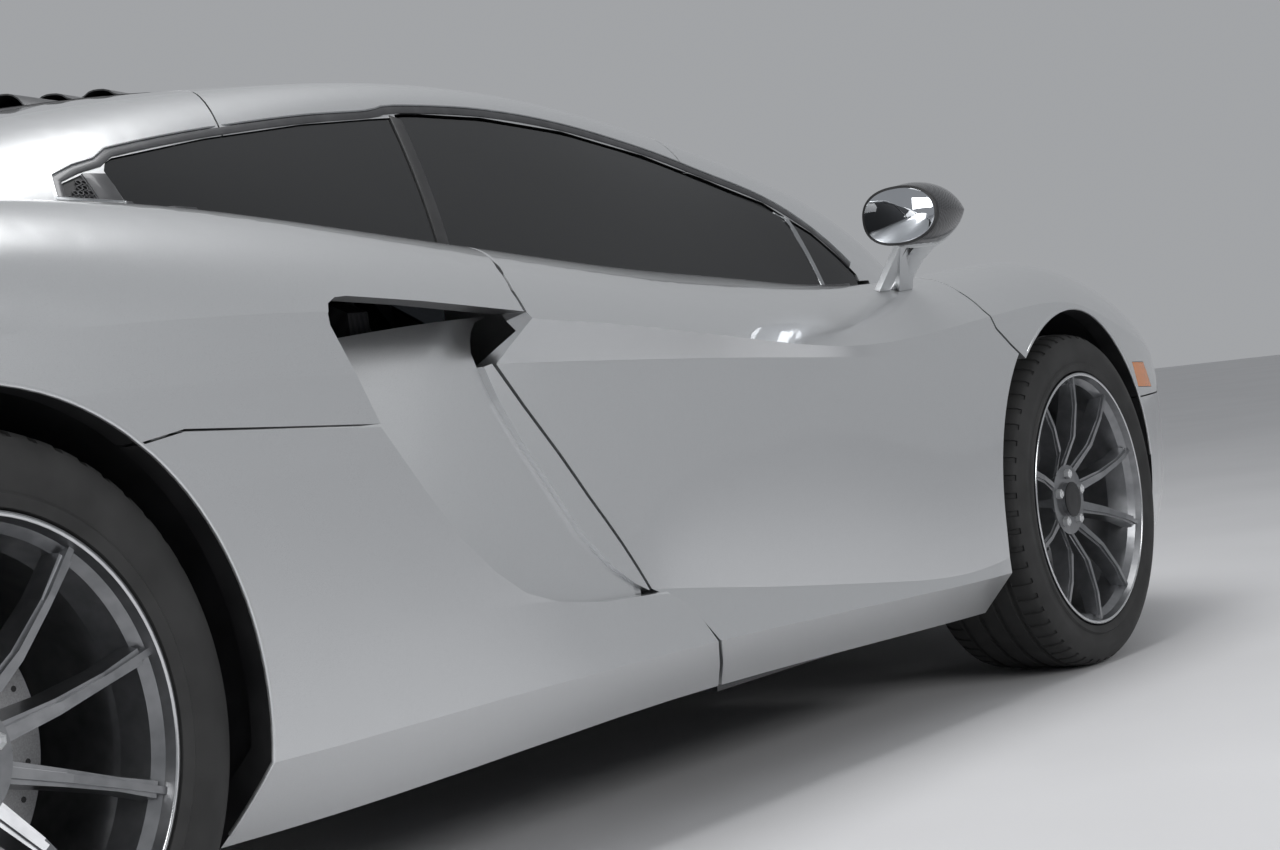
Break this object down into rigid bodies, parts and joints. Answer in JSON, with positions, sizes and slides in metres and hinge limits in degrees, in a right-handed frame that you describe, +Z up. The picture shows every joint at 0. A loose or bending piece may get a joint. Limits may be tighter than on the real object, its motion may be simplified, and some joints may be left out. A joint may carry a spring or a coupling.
{
  "type": "mid-engined two-seat supercar with upward-swinging doors",
  "caption": "Low mid-engined coupe with upward-swinging doors, side air intakes, slim-spoke wheels and a rising rear wing.",
  "frame": {"origin": "on the ground, below the middle of the car's length and width", "axes": "+X forward, +Y to the car's left, +Z up"},
  "size_m": [4.507, 2.0922, 1.1992],
  "materials": {
    "paint": "light metallic silver paint",
    "glass": "dark tinted glass",
    "lamp_glass": "clear lamp cover",
    "red_lamp": "red lamp cover",
    "amber_lamp": "amber lamp cover",
    "black_plastic": "matt black moulding",
    "carbon": "lacquered carbon weave",
    "tub_carbon": "matt carbon tub",
    "tyre": "black tyre rubber",
    "rim": "graphite metallic alloy",
    "disc": "ground brake disc",
    "knuckle": "cast aluminium",
    "leather": "black leather and suede",
    "cast": "cast and machined alloy",
    "steel": "heat-tinted steel",
    "mirror_shell": "carbon weave mirror cap on a silver stalk"
  },
  "bodies": {
    "body": {"tub": "tub_carbon", "roof_shell": "paint", "windscreen": "glass", "quarter_glass": "glass", "rear_window": "glass", "side_vents": "black_plastic", "front_bumper": "paint", "front_wings": "paint", "cowl_panel": "black_plastic", "headlamps": "lamp_glass", "headlamp_bowls": "black_plastic", "side_markers": "amber_lamp", "front_grilles": "black_plastic", "front_splitter": "black_plastic", "rear_haunches": "paint", "rear_lower_quarters": "paint", "intake_ramps": "paint", "rear_bumper": "paint", "rear_deck": "paint", "engine_cover": "black_plastic", "engine_block": "cast", "rear_grille": "black_plastic", "exhausts": "steel", "tail_lamps": "red_lamp", "diffuser": "black_plastic", "front_well_liners": "black_plastic", "rear_well_liners": "black_plastic", "seats": "leather", "dashboard": "leather", "steering_wheel": "leather", "suspension_front": "cast", "suspension_rear": "cast"},
    "door_left": {"door_left": "paint", "door_glass_left": "glass", "mirror_left": "mirror_shell"},
    "knuckle_front_left": {"knuckle_front_left": "knuckle"},
    "wheel_front_left": {"tyre_front_left": "tyre", "rim_front_left": "rim", "disc_front_left": "disc"},
    "wheel_rear_left": {"tyre_rear_left": "tyre", "rim_rear_left": "rim", "disc_rear_left": "disc"},
    "door_right": {"door_right": "paint", "door_glass_right": "glass", "mirror_right": "mirror_shell"},
    "knuckle_front_right": {"knuckle_front_right": "knuckle"},
    "wheel_front_right": {"tyre_front_right": "tyre", "rim_front_right": "rim", "disc_front_right": "disc"},
    "wheel_rear_right": {"tyre_rear_right": "tyre", "rim_rear_right": "rim", "disc_rear_right": "disc"},
    "front_lid": {"front_lid": "paint"},
    "airbrake": {"airbrake": "paint"}
  },
  "joints": [
    {"name": "door_left_swing", "type": "hinge", "parent": "body", "child": "door_left", "pos_m": [0.96, 0.86, 0.86], "axis": [0.2074, 0.5185, -0.8296], "range_deg": [0, 65]},
    {"name": "door_right_swing", "type": "hinge", "parent": "body", "child": "door_right", "pos_m": [0.96, -0.86, 0.86], "axis": [-0.2074, 0.5185, 0.8296], "range_deg": [0, 65]},
    {"name": "front_lid_lift", "type": "hinge", "parent": "body", "child": "front_lid", "pos_m": [1.322, 0, 0.76], "axis": [0, -1, 0], "range_deg": [0, 65]},
    {"name": "airbrake_lift", "type": "hinge", "parent": "body", "child": "airbrake", "pos_m": [-2.027, 0, 0.897], "axis": [0, 1, 0], "range_deg": [0, 50]},
    {"name": "steer_left", "type": "hinge", "parent": "body", "child": "knuckle_front_left", "pos_m": [1.2035, 0.752, 0.3235], "axis": [0, 0, 1], "range_deg": [-30, 30]},
    {"name": "steer_right", "type": "hinge", "parent": "body", "child": "knuckle_front_right", "pos_m": [1.2035, -0.752, 0.3235], "axis": [0, 0, 1], "range_deg": [-30, 30]},
    {"name": "wheel_front_left_spin", "type": "hinge", "parent": "knuckle_front_left", "child": "wheel_front_left", "pos_m": [1.2035, 0.828, 0.3235], "axis": [0, 1, 0], "continuous": true},
    {"name": "wheel_rear_left_spin", "type": "hinge", "parent": "body", "child": "wheel_rear_left", "pos_m": [-1.4665, 0.7915, 0.3455], "axis": [0, 1, 0], "continuous": true},
    {"name": "wheel_front_right_spin", "type": "hinge", "parent": "knuckle_front_right", "child": "wheel_front_right", "pos_m": [1.2035, -0.828, 0.3235], "axis": [0, 1, 0], "continuous": true},
    {"name": "wheel_rear_right_spin", "type": "hinge", "parent": "body", "child": "wheel_rear_right", "pos_m": [-1.4665, -0.7915, 0.3455], "axis": [0, 1, 0], "continuous": true}
  ],
  "couplings": [
    {"joint": "steer_right", "follows": "steer_left", "ratio": 1}
  ]
}
